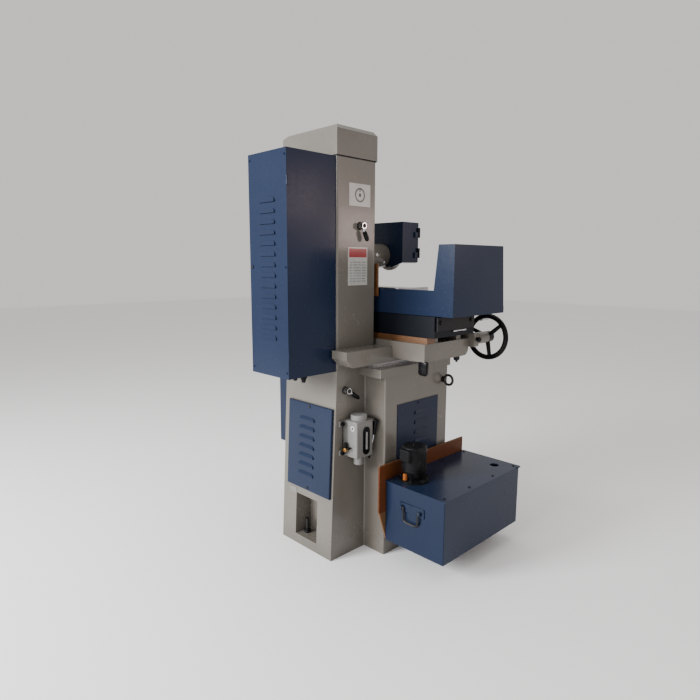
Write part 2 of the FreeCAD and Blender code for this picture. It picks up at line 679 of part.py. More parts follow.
def make_table_drive():
    """The handwheel's bearing, the belt case on the saddle, and what runs in them."""
    wheel_spot = (s.table_wheel_x, s.table_wheel_z)
    pinion_spot = (s.pinion_x, s.rack_low - 0.3 - s.pinion_radius)
    case_rear = s.saddle_front
    case_front = s.saddle_front - 34
    case = block((wheel_spot[0] - 26, s.pinion_x + 26), (case_front, case_rear), (852, 908))
    case = soften(case, 6, edges_along("Y"))
    sleeve = rod("Y", (wheel_spot[0], s.table_wheel_y + 20, wheel_spot[1]), 100, 25)
    room = block((wheel_spot[0] - 22, s.pinion_x + 22), (case_front + 4, case_rear - 4), (856, 904))
    node("wheel_bearing", carve(
        join(case, sleeve), room,
        rod("Y", (wheel_spot[0], s.table_wheel_y, wheel_spot[1]), 120, s.shaft_radius + s.running_gap),
        rod("Y", (pinion_spot[0], case_rear - 8, pinion_spot[1]), 20, 8 + s.running_gap)))

    pieces, grip = handwheel(wheel_spot[0], s.table_wheel_y, wheel_spot[1], s.wheel_radius, -33, 50)
    pieces.append(rod("Y", (wheel_spot[0], s.table_wheel_y, wheel_spot[1]), 126, s.shaft_radius))
    pieces.append(rod("Y", (wheel_spot[0], case_front + 7, wheel_spot[1]), 14, s.pulley_radius))
    node("table_wheel", join(*pieces))
    node("table_grip", grip)

    shaft_start = (pinion_spot[0], case_front + 7, pinion_spot[1])
    shaft = rod("Y", shaft_start, 182, 8)
    pulley = rod("Y", shaft_start, 14, s.pulley_radius)
    pinion = rod("Y", (pinion_spot[0], -119, pinion_spot[1]), 25, s.pinion_radius)
    node("table_pinion", join(shaft, pulley, pinion))

    def band(radius, start, length):
        """A stadium round both pulleys."""
        a = Vector(wheel_spot[0].value, wheel_spot[1].value, 0)
        b = Vector(pinion_spot[0].value, pinion_spot[1].value, 0)
        along = (b - a).normalize()
        across = Vector(-along.y, along.x, 0) * radius.value
        corners = [(p.x, p.y) for p in (a + across, a - across, b - across, b + across)]
        flat = prism("XZ", corners, start, start + length)
        rounds = [rod("Y", (spot[0], start, spot[1]), length, radius) for spot in (wheel_spot, pinion_spot)]
        return join(flat, *rounds)

    node("drive_belt", carve(band(s.pulley_radius + 2, case_front + 8, 12),
                             band(s.pulley_radius + 0.1, case_front + 6, 16)))


# ----------------------------------------------------------------------- table

def make_table():
    slab = block((-s.table_half, s.table_half), (s.table_front, s.table_rear), (s.table_low, s.table_top))
    slab = soften(slab, 3, edges_along("X", lambda c: c.z > s.table_top.value - 1), "Part::Chamfer")
    dog_slot = block((-s.table_half - 1, s.table_half + 1), (s.table_front - 1, s.table_front + 12),
                     (945, 957))
    node("table_casting", carve(slab, dog_slot))
    node("table_rack", block((-340, 140), (-117, -96), (s.rack_low, s.table_low)))

    plate = block((-s.table_half - 8, -s.table_half), (s.table_front + 10, s.table_rear - 10), (940, 992))
    bolts = [rod("X", (-s.table_half - 14, y, 972), 7, 8) for y in (-2, -204)]
    left = join(plate, *bolts)
    node("table_end_plates", group(left, mirrored(left)))

    for label, x in (("stop_dog_left", -250), ("stop_dog_right", 250)):
        jaw = block(span(as_size(x), as_size(36)), (s.table_front - 22, s.table_front - 0.3), (934, 968))
        key = block(span(as_size(x), as_size(24)), (s.table_front - 1, s.table_front + 10), (945.3, 956.7))
        knob = rod("Y", (x, s.table_front - 38, 951), 17, 8)
        node(label, join(jaw, key, knob))


def make_splash_guard():
    sheet = s.tray_sheet
    side = (s.tray_left, s.tray_right)
    depth = (s.tray_front, s.table_rear)
    floor_top = s.table_top + sheet
    floor = block(side, depth, (s.table_top, floor_top))
    left = prism("YZ", [(s.tray_front, s.table_top), (s.table_rear, s.table_top),
                        (s.table_rear, s.tray_high_wall), (s.tray_front + 24, s.tray_high_wall)],
                 s.tray_left, s.tray_left + sheet)
    rear = prism("XZ", [(s.tray_left, s.table_top), (s.tray_right, s.table_top),
                        (s.tray_right, s.tray_low_wall), (-430, s.tray_low_wall),
                        (-448, s.tray_high_wall), (s.tray_left, s.tray_high_wall)],
                 s.table_rear - sheet, s.table_rear)
    right = block((s.tray_right - sheet, s.tray_right), depth, (s.table_top, s.tray_low_wall))
    lip = block(side, (s.tray_front, s.tray_front + sheet), (s.table_top, floor_top + 24))
    node("splash_guard", join(floor, left, rear, right, lip))


def make_chuck():
    floor_top = s.table_top + s.tray_sheet
    body = block((-s.chuck_half, s.chuck_half), (s.chuck_front, s.chuck_rear), (floor_top, s.chuck_top))
    body = soften(body, 2, edges_along("X", lambda c: c.z > s.chuck_top.value - 1), "Part::Chamfer")
    spot = (-103, 1046)
    bore = rod("X", (s.chuck_half - 30, *spot), 40, 9 + s.running_gap)
    node("magnetic_chuck", carve(body, bore))
    shaft = rod("X", (s.chuck_half - 25, *spot), 44, 9)
    hub = rod("X", (s.chuck_half + 2, *spot), 20, 13)
    arm = bar((s.chuck_half + 12, *spot), (s.chuck_half + 12, spot[0] + 82, spot[1]), 6)
    knob = ball((s.chuck_half + 12, spot[0] + 84, spot[1]), 11)
    node("chuck_lever", join(shaft, hub, arm, knob))


# ---------------------------------------------------------------- spindle head

def make_head():
    height = (s.carriage_low, s.carriage_high)
    plate = block((-s.carriage_half, s.carriage_half), (s.carriage_front, s.carriage_rear), height)
    plate = soften(plate, 8, edges_along("Z", lambda c: c.y < s.carriage_front.value + 1))
    grooves = [block(x, (s.way_face - 0.3, s.column_front + 5), (height[0] - 1, height[1] + 1))
               for x in ((-s.way_outer - 0.3, 0.3 - s.way_inner), (s.way_inner - 0.3, s.way_outer + 0.3))]
    neck = block((-50, 50), (s.carriage_rear - 1, 110), (1170, 1290))
    arm = block((40, 134), (84, 108), (1195, 1225))
    nut = block((92, 134), (100, 168), (1195, 1225))
    node("head_carriage", carve(
        join(carve(plate, *grooves), neck, arm, nut),
        rod("Y", (0, s.carriage_front - 5, s.spindle_z), 130, s.arbor_radius + 1),
        rod("Z", (s.screw_x, s.screw_y, 1190), 40, s.screw_radius + s.running_gap)))

    sleeve = rod("Y", (0, s.guard_rear, s.spindle_z), s.carriage_front - s.guard_rear, s.housing_radius)
    node("spindle_housing", carve(
        soften(sleeve, 3, lambda edge: edge.CenterOfMass.y < s.guard_rear.value + 1, "Part::Chamfer"),
        rod("Y", (0, s.guard_rear - 5, s.spindle_z), 170, s.arbor_radius + s.running_gap)))

    can = rod("Y", (0, 110, s.spindle_z), 118, s.motor_radius)
    tail = rod("Y", (0, 227, s.spindle_z), 13, 60)
    box = block((-40, 40), (140, 200), (s.spindle_z + 60, s.spindle_z + 105))
    node("spindle_motor", join(can, tail, box))


def guard_outline():
    return [(-s.guard_half, s.guard_high), (-s.guard_half, s.guard_low), (-65, s.guard_low - 20),
            (65, s.guard_low - 20), (s.guard_half, s.guard_low), (s.guard_half, s.guard_high)]


def make_wheel_guard():
    cover_rear = s.guard_front + s.guard_sheet
    shell = prism("XZ", guard_outline(), cover_rear + 0.3, s.guard_rear)
    inside = s.guard_half - s.guard_sheet
    room = block((-inside, inside), (cover_rear - 5, s.guard_rear - s.guard_sheet),
                 (s.guard_low - 40, s.guard_high - s.guard_sheet))
    axle_hole = rod("Y", (0, s.guard_rear - 20, s.spindle_z), 40, s.arbor_radius + 1)
    pin_spot = (-s.guard_half - 4, s.guard_front + 3)
    leaves = []
    for z in (1220, 1308):
        leaves.append(block((pin_spot[0] - 3, -s.guard_half + 1), (cover_rear + 0.3, cover_rear + 22),
                            (z, z + 24)))
        leaves.append(block((pin_spot[0] - 3, pin_spot[0]), (pin_spot[1], cover_rear + 1), (z, z + 24)))
        leaves.append(rod("Z", (*pin_spot, z), 24, 4))
    node("wheel_guard", carve(join(shell, *leaves), room, axle_hole))

    plate = block((-s.guard_half, s.guard_half), (s.guard_front, cover_rear), (s.guard_low, s.guard_high))
    knuckles = []
    for z in (1244.3, 1332.3):
        knuckles.append(rod("Z", (*pin_spot, z), 18, 4))
        knuckles.append(block((pin_spot[0], -s.guard_half + 1), (s.guard_front, cover_rear - 0.5),
                              (z, z + 18)))
    knob = soften(rod("Y", (104, s.guard_front - 14, 1290), 15, 10), 3,
                  lambda edge: edge.CenterOfMass.y < s.guard_front.value - 13)
    clear = [rod("Z", (*pin_spot, z - 0.3), 24.6, 4.6) for z in (1220, 1308)]
    node("guard_cover", carve(join(plate, *knuckles, knob), *clear))


def make_spindle():
    def disc(start, length, radius):
        return rod("Y", (0, start, s.spindle_z), length, radius)

    half = s.disc_thick / 2
    shaft = disc(s.disc_y - 30, 109.5 - (s.disc_y - 30), s.arbor_radius)
    rear_flange = disc(s.disc_y + half, 8, 34)
    front_flange = disc(s.disc_y - half - 8, 8, 34)
    nut = disc(s.disc_y - half - 20, 13, 21)
    node("spindle", join(shaft, rear_flange, front_flange, nut))
    node("grinding_wheel", carve(disc(s.disc_y - half, s.disc_thick, s.disc_radius),
                                 disc(s.disc_y - 20, 40, s.arbor_radius + 0.1)))


def make_way_apron():
    """The brown apron that hangs from the carriage across the front of the column."""
    side = s.column_half + s.cap_lip
    sheet = block((-side, side), (42, s.way_face - 0.5), (1063, s.carriage_low + 45))
    gap = block((-s.carriage_half, s.carriage_half), (40, s.way_face), (s.carriage_low, s.carriage_low + 50))
    node("way_apron", carve(sheet, gap))


# --------------------------------------------------------------------- coolant

def make_tank():
    sheet = s.sheet_thick
    outer = block((s.tank_left, s.tank_right), (s.tank_front, s.tank_rear), (s.tank_low, s.tank_high))
    outer = soften(outer, 4, edges_along("Z"))
    inner = block((s.tank_left + sheet, s.tank_right - sheet), (s.tank_front + sheet, s.tank_rear - sheet),
                  (s.tank_low + sheet, s.tank_high + 5))
    feet = [block((x, x + 40), (y, y + 40), (0, s.tank_low + 1))
            for x in (s.tank_left + 113, s.tank_right - 57) for y in (s.tank_front + 42, s.tank_rear - 154)]
    plate = block((-479, -371), (s.tank_rear - 1, s.tank_rear + 3), (240, 264))
    lugs = [block(x, (s.tank_rear + 2, s.tank_rear + 15), (244, 260)) for x in ((-474, -466), (-384, -376))]
    pin_bore = rod("X", (-480, s.tank_rear + 9, 252), 110, 4 + s.running_gap)
    node("coolant_tank", carve(join(carve(outer, inner), *feet, plate, *lugs), pin_bore))

    y = s.tank_rear + 9
    bend = [(-461, 252), (-461, 212), (-456, 200), (-444, 195), (-406, 195), (-394, 200), (-389, 212),
            (-389, 252)]
    bail = [rod("X", (-473, y, 252), 12, 4), rod("X", (-389, y, 252), 12, 4)]
    bail += [bar((a[0], y, a[1]), (b[0], y, b[1]), 4) for a, b in zip(bend, bend[1:])]
    bail += [ball((x, y, z), 4.05) for x, z in bend]
    node("tank_handle", join(*bail))

    lid = block((s.tank_left - 4, s.tank_right - 0.5), (s.tank_front - 4, s.tank_rear + 4),
                (s.tank_high, s.tank_high + s.lid_thick))
    node("tank_lid", carve(lid, rod("Z", (s.return_x, s.return_y, s.tank_high - 5), 20, s.return_radius),
                           rod("Z", (s.pump_x, s.pump_y, s.tank_high - 5), 20, 40)))

    lid_top = s.tank_high + s.lid_thick

    def drum(low, length, radius):
        return rod("Z", (s.pump_x, s.pump_y, lid_top + low), length, radius)

    can = soften(drum(44, 101, 50), 9, lambda edge: edge.CenterOfMass.z > lid_top.value + 140)
    throat = cone("Z", (s.pump_x, s.pump_y, lid_top + 8), 37, 34, 49)
    stack = [drum(0, 9, 63), throat, can, drum(-200, 201, 24), drum(-215, 30, 36)]
    outlet = rod("Z", (s.pump_x + 8, s.pump_y + 44, lid_top + 8), 22, 8)
    terminal = soften(block(span(s.pump_x, as_size(50)), (s.pump_y + 30, s.pump_y + 64),
                            (lid_top + 88, lid_top + 138)), 5,
                      lambda edge: edge.CenterOfMass.y > s.pump_y.value + 63)
    node("coolant_pump", join(*stack, outlet, terminal))

    profile = [(-408, s.tank_low), (118, s.tank_low), (162, 209), (162, 398), (-408, 398)]
    node("tank_board", prism("YZ", profile, s.tank_right, s.tank_right + 7))


# --------------------------------------------------------------------- running

make_base()
make_column()
make_cap()
make_cross_ways()
make_covers()
make_levelling_bolts()
make_lifting_eyes()
make_labels()
make_clamp_lever("column_clamp_lever", 150, 1338, (131, 1290))
make_clamp_lever("base_clamp_lever", 228, 698, (179, 666))
make_cabinet()
make_switchgear()
make_control_box()
make_glands()
make_lube_pump()
make_feed_wheels()
make_elevating_screw()
make_saddle()
make_way_guard()
make_table_drive()
make_table()
make_splash_guard()
make_chuck()
make_head()
make_wheel_guard()
make_spindle()
make_way_apron()
make_tank()
doc.recompute()

failed = [thing.Label for thing in doc.Objects if "Invalid" in thing.State or "Error" in thing.State]
if failed:
    raise RuntimeError(f"features failed: {failed}")
for label, solid in NODES.items():
    if solid.Label != label or solid.Shape.isNull() or not solid.Shape.isValid():
        raise RuntimeError(f"{label} has no valid shape")
for label, solid in NODES.items():
    solid.Shape.exportStep(f"parts/{label}.step")
print(f"{len(NODES)} sub-parts written")
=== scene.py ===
"""Looks of the surface grinder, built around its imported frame."""

import json
import logging
import math
from dataclasses import dataclass
from enum import Enum
from typing import Callable, Sequence

import bpy
from mathutils import Matrix, Vector


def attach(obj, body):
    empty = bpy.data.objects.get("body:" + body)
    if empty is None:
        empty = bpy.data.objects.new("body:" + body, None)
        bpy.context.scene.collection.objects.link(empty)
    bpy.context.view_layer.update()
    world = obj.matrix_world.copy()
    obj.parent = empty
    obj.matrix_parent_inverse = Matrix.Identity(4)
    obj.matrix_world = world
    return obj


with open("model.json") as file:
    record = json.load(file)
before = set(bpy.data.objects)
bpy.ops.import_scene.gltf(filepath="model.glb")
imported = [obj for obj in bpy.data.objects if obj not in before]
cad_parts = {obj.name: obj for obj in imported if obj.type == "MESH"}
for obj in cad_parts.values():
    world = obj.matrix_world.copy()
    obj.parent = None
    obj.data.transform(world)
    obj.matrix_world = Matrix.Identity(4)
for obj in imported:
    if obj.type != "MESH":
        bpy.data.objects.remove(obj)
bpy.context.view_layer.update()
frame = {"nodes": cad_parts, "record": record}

LOG = logging.getLogger("grinder")
MM = 0.001

Point = tuple[float, float, float]
Colour = tuple[float, float, float]


class Axis(Enum):
    """A direction of the machine's frame."""

    X = Vector((1, 0, 0))
    Y = Vector((0, 1, 0))
    Z = Vector((0, 0, 1))


# ------------------------------------------------------------------- shader maths


class Wire:
    """A shader value; arithmetic on it adds Math nodes."""

    def __init__(self, recipe: "Recipe", socket: bpy.types.NodeSocket) -> None:
        """Wrap a socket.

        Args:
            recipe: The material that the socket belongs to.
            socket: An output socket that carries a number.
        """
        self.recipe = recipe
        self.socket = socket

    def _math(self, operation: str, *values: "Wire | float") -> "Wire":
        """Return the result of a Math node on the values."""
        return self.recipe.node("ShaderNodeMath", {"operation": operation}, dict(enumerate(values)))

    def __add__(self, other: "Wire | float") -> "Wire":
        """Return self + other."""
        return self._math("ADD", self, other)

    __radd__ = __add__

    def __sub__(self, other: "Wire | float") -> "Wire":
        """Return self - other."""
        return self._math("SUBTRACT", self, other)

    def __rsub__(self, other: float) -> "Wire":
        """Return other - self."""
        return self._math("SUBTRACT", other, self)

    def __mul__(self, other: "Wire | float") -> "Wire":
        """Return self * other."""
        return self._math("MULTIPLY", self, other)

    __rmul__ = __mul__

    def __truediv__(self, other: "Wire | float") -> "Wire":
        """Return self / other."""
        return self._math("DIVIDE", self, other)

    def __gt__(self, other: "Wire | float") -> "Wire":
        """Return 1 where self is greater than other, else 0."""
        return self._math("GREATER_THAN", self, other)

    def __lt__(self, other: "Wire | float") -> "Wire":
        """Return 1 where self is less than other, else 0."""
        return self._math("LESS_THAN", self, other)

    def __mod__(self, other: float) -> "Wire":
        """Return the remainder of self over other, never negative."""
        return self._math("FLOORED_MODULO", self, other)

    def __abs__(self) -> "Wire":
        """Return the size of self without its sign."""
        return self._math("ABSOLUTE", self)

    def root(self) -> "Wire":
        """Return the square root of self."""
        return self._math("SQRT", self)

    def ramp(self, low: float, high: float) -> "Wire":
        """Return a smooth step from 0 at low to 1 at high.

        Args:
            low: The value that gives 0.
            high: The value that gives 1; it may be below low.

        Returns:
            The stepped value.
        """
        settings = {"interpolation_type": "SMOOTHSTEP"}
        flip = low > high
        ends = {"Value": self, "From Min": min(low, high), "From Max": max(low, high)}
        step = self.recipe.node("ShaderNodeMapRange", settings, ends)
        return 1 - step if flip else step

    def within(self, low: float, high: float) -> "Wire":
        """Return 1 where self lies between low and high."""
        return (self > low) * (self < high)


class Recipe:
    """A material under construction, with one Principled shader."""

    def __init__(self, name: str, **constants: float | tuple) -> None:
        """Start a material.

        Args:
            name: The material's name.
            constants: Values set on the Principled shader's own sockets, with
                underscores for the spaces in their names.
        """
        self.material = bpy.data.materials.new(name)
        self.material.use_nodes = True
        self.tree = self.material.node_tree
        self.tree.nodes.clear()
        output = self.tree.nodes.new("ShaderNodeOutputMaterial")
        self.shader = self.tree.nodes.new("ShaderNodeBsdfPrincipled")
        self.tree.links.new(self.shader.outputs[0], output.inputs["Surface"])
        for key, value in constants.items():
            self.shader.inputs[key.replace("_", " ")].default_value = value
        self.place = self.node("ShaderNodeTexCoord", {}, {}, "Object")
        axes = self.node("ShaderNodeSeparateXYZ", {}, {"Vector": self.place}, None)
        self.x, self.y, self.z = (Wire(self, axes.outputs[i]) for i in range(3))

    def node(self, kind: str, settings: dict, values: dict, output: str | int | None = 0) -> "Wire":
        """Add a node.

        Args:
            kind: The node's type.
            settings: Properties set first; "stops" gives a colour ramp's stops.
            values: Constants or wires for the input sockets, by name or number.
            output: The output to return, or None for the node itself.

        Returns:
            The chosen output as a wire, or the node.
        """
        made = self.tree.nodes.new(kind)
        for key, value in settings.items():
            if key == "stops":
                for index, (spot, colour) in enumerate(value):
                    stops = made.color_ramp.elements
                    stop = stops[index] if index < 2 else stops.new(spot)
                    stop.position, stop.color = spot, (*colour, 1)
            else:
                setattr(made, key, value)
        for key, value in values.items():
            if isinstance(value, Wire):
                self.tree.links.new(value.socket, made.inputs[key])
            else:
                made.inputs[key].default_value = value
        return made if output is None else Wire(self, made.outputs[output])

    def stretched(self, scale: Point, centre: Point = (0, 0, 0)) -> "Wire":
        """Return the object's coordinates moved and stretched.

        Args:
            scale: The factor for each axis.
            centre: The place that becomes the pattern's origin.

        Returns:
            The new coordinates.
        """
        shift = tuple(-c * k for c, k in zip(centre, scale))
        return self.node("ShaderNodeMapping", {}, {"Vector": self.place, "Scale": scale, "Location": shift})

    def noise(self, scale: float, detail: float = 3, stretch: Point | None = None) -> "Wire":
        """Return a noise pattern.

        Args:
            scale: Features per metre.
            detail: Octaves of detail.
            stretch: Factors for each axis, or None for an even pattern.

        Returns:
            The noise, about 0.5 on average.
        """
        where = self.stretched(stretch) if stretch else self.place
        return self.node("ShaderNodeTexNoise", {}, {"Vector": where, "Scale": scale, "Detail": detail})

    def blend(self, factor: "Wire | float", first: "Wire | Colour", second: "Wire | Colour",
              how: str = "MIX") -> "Wire":
        """Mix two colours.

        Args:
            factor: How much of the second colour shows.
            first: The colour at factor 0.
            second: The colour at factor 1.
            how: The blend type.

        Returns:
            The mixed colour.
        """
        pair = [value if isinstance(value, Wire) else (*value, 1) for value in (first, second)]
        settings = {"data_type": "RGBA", "blend_type": how}
        return self.node("ShaderNodeMix", settings, {0: factor, 6: pair[0], 7: pair[1]}, 2)

    def feed(self, socket: str, wire: "Wire") -> None:
        """Link a wire to a socket of the Principled shader."""
        self.tree.links.new(wire.socket, self.shader.inputs[socket])

    def bump(self, height: "Wire", depth: float, strength: float = 1.0) -> None:
        """Raise the surface by a height pattern.

        Args:
            height: The pattern, from 0 to 1.
            depth: Its height in metres.
            strength: How much of it shows.
        """
        values = {"Height": height, "Distance": depth, "Strength": strength}
        self.feed("Normal", self.node("ShaderNodeBump", {}, values))


# ------------------------------------------------------------------------ finishes


@dataclass(frozen=True)
class Enamel:
    """Machine enamel: orange peel, faint cloudiness, scuffs and floor dirt.

    Attributes:
        name: The material's name.
        colour: The paint's colour.
        roughness: Its mean roughness.
        peel: The orange peel's height in metres.
        waviness: The height of slow waves under the paint, in metres.
        dirt: The strength of the dirt near the floor.
        coat: The weight of the clear top layer.
        specular: The paint's own reflectance level.
    """

    name: str
    colour: Colour
    roughness: float = 0.3
    peel: float = 0.00012
    waviness: float = 0.0
    dirt: float = 0.5
    coat: float = 0.15
    specular: float = 0.35

    def build(self) -> bpy.types.Material:
        """Return the material."""
        r = Recipe(self.name, Coat_Weight=self.coat, Coat_Roughness=0.12,
                   Specular_IOR_Level=self.specular)
        cloud = r.noise(3.5, 4)
        fine = r.noise(60, 4)
        shade = tuple(c * 0.92 for c in self.colour)
        tint = tuple(min(1.0, c * 1.05) for c in self.colour)
        paint = r.blend(cloud.ramp(0.3, 0.7), shade, tint)
        floor_dirt = (r.z + 0.12 * r.noise(18, 5)).ramp(0.22, 0.03) * self.dirt
        speck = r.noise(150, 2).ramp(0.70, 0.78) * fine.ramp(0.55, 0.7)
        streak = r.noise(26, 3, (1, 1, 0.06)).ramp(0.56, 0.76) * 0.2 * self.dirt
        dirty = (floor_dirt * 0.7 + streak).ramp(0.0, 1.0)
        paint = r.blend(dirty, paint, (0.055, 0.046, 0.031))
        paint = r.blend(speck * 0.08, paint, tuple(c * 0.45 for c in self.colour))
        r.feed("Base Color", paint)
        r.feed("Roughness", self.roughness + 0.12 * (fine - 0.5) + 0.3 * dirty + 0.1 * (cloud - 0.5))
        peel = r.noise(420, 1)
        height = peel * self.peel + r.noise(9, 2) * self.waviness
        r.bump(height * 1000, 0.001)
        return r.material


@dataclass(frozen=True)
class Metal:
    """Bare metal with machining marks along one axis.

    Attributes:
        name: The material's name.
        colour: The metal's colour.
        roughness: Its mean roughness.
        grain: The stretch of the marks along each axis.
        oil: How much dark oil film lies on it.
        depth: The height of the marks in metres.
    """

    name: str
    colour: Colour
    roughness: float = 0.3
    grain: Point = (1, 1, 1)
    oil: float = 0.3
    depth: float = 0.00004

    def build(self) -> bpy.types.Material:
        """Return the material."""
        r = Recipe(self.name, Metallic=1.0)
        marks = r.noise(320, 4, self.grain)
        film = r.noise(14, 5).ramp(0.42, 0.72) * self.oil
        metal = r.blend(marks.ramp(0.3, 0.7), tuple(c * 0.82 for c in self.colour), self.colour)
        r.feed("Base Color", r.blend(film, metal, (0.05, 0.043, 0.03)))
        r.feed("Roughness", self.roughness + 0.2 * (marks - 0.5) + 0.12 * film)
        r.bump(marks, self.depth)
        return r.material


@dataclass(frozen=True)
class Moulded:
    """Moulded plastic or rubber with a fine skin and dust.

    Attributes:
        name: The material's name.
        colour: The plastic's colour.
        roughness: Its mean roughness.
        skin: The height of the moulded skin in metres.
        dust: How much dust lies on it.
    """

    name: str
    colour: Colour
    roughness: float = 0.4
    skin: float = 0.00006
    dust: float = 0.15

    def build(self) -> bpy.types.Material:
        """Return the material."""
        r = Recipe(self.name, Specular_IOR_Level=0.12)
        cloud = r.noise(22, 4)
        grain = r.noise(900, 2)
        body = r.blend(cloud.ramp(0.3, 0.7), tuple(c * 0.8 for c in self.colour), self.colour)
        dust = r.noise(45, 5).ramp(0.5, 0.8) * self.dust
        r.feed("Base Color", r.blend(dust, body, (0.09, 0.085, 0.075)))
        r.feed("Roughness", self.roughness + 0.1 * (cloud - 0.5) + 0.35 * dust)
        r.bump(grain, self.skin)
        return r.material


@dataclass(frozen=True)
class OiledStrip:
    """The brown way strip: fibrous, oil-stained and slightly glossy."""

    name: str = "oiled_strip"
    colour: Colour = (0.145, 0.060, 0.019)

    def build(self) -> bpy.types.Material:
        """Return the material."""
        r = Recipe(self.name, Coat_Weight=0.1)
        fibre = r.noise(60, 5, (1, 1, 4))
        stain = r.noise(11, 4).ramp(0.45, 0.7)
        body = r.blend(fibre.ramp(0.3, 0.7), tuple(c * 0.72 for c in self.colour), self.colour)
        r.feed("Base Color", r.blend(stain * 0.55, body, (0.045, 0.020, 0.008)))
        r.feed("Roughness", 0.5 - 0.2 * stain)
        r.bump(fibre, 0.0004)
        return r.material


@dataclass(frozen=True)
class Board:
    """Sealed fibreboard with short fibres, rubbed top edges and a painted highlight over its lower part."""

    name: str = "board"
    colour: Colour = (0.115, 0.033, 0.009)

    def build(self) -> bpy.types.Material:
        """Return the material."""
        r = Recipe(self.name, Specular_IOR_Level=0.2)
        fibre = r.noise(35, 6, (1, 1, 9))
        fleck = r.noise(240, 3).ramp(0.55, 0.7)
        # Lighter along the top edges from wear, and lighter over the lower part as a painted highlight where
        # light falls on the board.
        wear_and_painted_highlight = (r.z > 0.3935) * r.noise(70, 4).ramp(0.35, 0.6) + (r.z < 0.2) * (r.y > 0.117) * 1.2
        body = r.blend(fibre.ramp(0.25, 0.75), tuple(c * 0.7 for c in self.colour), self.colour)
        body = r.blend(fleck * 0.35, body, (0.05, 0.02, 0.008))
        r.feed("Base Color", r.blend(wear_and_painted_highlight * 0.5, body, (0.17, 0.10, 0.05)))
        r.feed("Roughness", 0.55 + 0.2 * (fibre - 0.5))
        r.bump(fibre + fleck * 0.4, 0.0003)
        return r.material


@dataclass(frozen=True)
class Abrasive:
    """Vitrified white aluminium oxide."""

    name: str = "abrasive"

    def build(self) -> bpy.types.Material:
        """Return the material."""
        r = Recipe(self.name, Roughness=0.9)
        grit = r.node("ShaderNodeTexVoronoi", {}, {"Vector": r.place, "Scale": 1500.0})
        r.feed("Base Color", r.blend(grit.ramp(0.1, 0.6), (0.60, 0.59, 0.57), (0.42, 0.41, 0.39)))
        r.bump(grit, 0.0004)
        return r.material


@dataclass(frozen=True)
class ChuckFace:
    """Ground steel with the brass-spaced poles of a magnetic chuck across its top."""

    name: str = "chuck_face"
    pitch: float = 0.013
    spacer: float = 0.0032
    top: float = 1.0915

    def build(self) -> bpy.types.Material:
        """Return the material."""
        r = Recipe(self.name, Metallic=1.0)
        marks = r.noise(300, 3, (6, 0.3, 6))
        pole = (r.x % self.pitch) < self.spacer
        top = (r.z > self.top) * (abs(r.x) < 0.212) * (abs(r.y + 0.103) < 0.088)
        steel = r.blend(marks.ramp(0.3, 0.7), (0.36, 0.37, 0.38), (0.47, 0.48, 0.49))
        r.feed("Base Color", r.blend(pole * top, steel, (0.72, 0.52, 0.24)))
        r.feed("Roughness", 0.27 + 0.2 * (marks - 0.5))
        r.bump(marks, 0.00004)
        return r.material


@dataclass(frozen=True)
class PrintedPlates:
    """The two plates on the column: a ring symbol and a plate with printed bands.

    Attributes:
        ring: Centre (y, z), radius and width of the ring symbol, in metres.
        plate_top: The height above which a face belongs to the symbol plate.
    """

    name: str = "printed_plates"
    ring: tuple[float, float, float, float] = (0.151, 1.454, 0.024, 0.006)
    plate_top: float = 1.35

    def build(self) -> bpy.types.Material:
        """Return the material."""
        r = Recipe(self.name, Coat_Weight=0.4, Coat_Roughness=0.15)
        y0, z0, radius, width = self.ring
        away = ((r.y - y0) * (r.y - y0) + (r.z - z0) * (r.z - z0)).root()
        symbol = (abs(away - radius) < width / 2) + (away < 0.007)
        symbol = symbol + (abs(r.y - y0) < width / 2) * r.z.within(z0 + 0.012, z0 + radius)
        upper = r.z > self.plate_top
        grey = r.noise(30, 4)
        face = r.blend(grey.ramp(0.3, 0.7), (0.36, 0.35, 0.33), (0.42, 0.41, 0.385))
        face = r.blend(symbol.ramp(0.0, 1.0) * upper, face, (0.006, 0.006, 0.006))
        lower = 1 - upper
        band = lower * r.z.within(1.218, 1.252) * r.y.within(0.1125, 0.2085)
        lined = lower * r.z.within(1.118, 1.205) * r.y.within(0.116, 0.205)
        rows = ((r.z % 0.0105) < 0.0042) * ((r.y + 0.004 * grey) % 0.047 > 0.006)
        smudge = r.noise(420, 2, (1, 1, 2)).ramp(0.42, 0.55)
        face = r.blend(lined * rows * smudge * 0.9, face, (0.035, 0.05, 0.09))
        face = r.blend(band, face, (0.24, 0.006, 0.010))
        r.feed("Base Color", face)
        r.feed("Roughness", 0.34 + 0.2 * (grey - 0.5))
        return r.material


@dataclass(frozen=True)
class StageFloor:
    """The pale floor."""

    name: str = "stage_floor"

    def build(self) -> bpy.types.Material:
        """Return the material."""
        r = Recipe(self.name, Roughness=0.65)
        r.feed("Base Color", r.blend(r.noise(2, 2), (0.88, 0.88, 0.88), (0.90, 0.90, 0.90)))
        return r.material


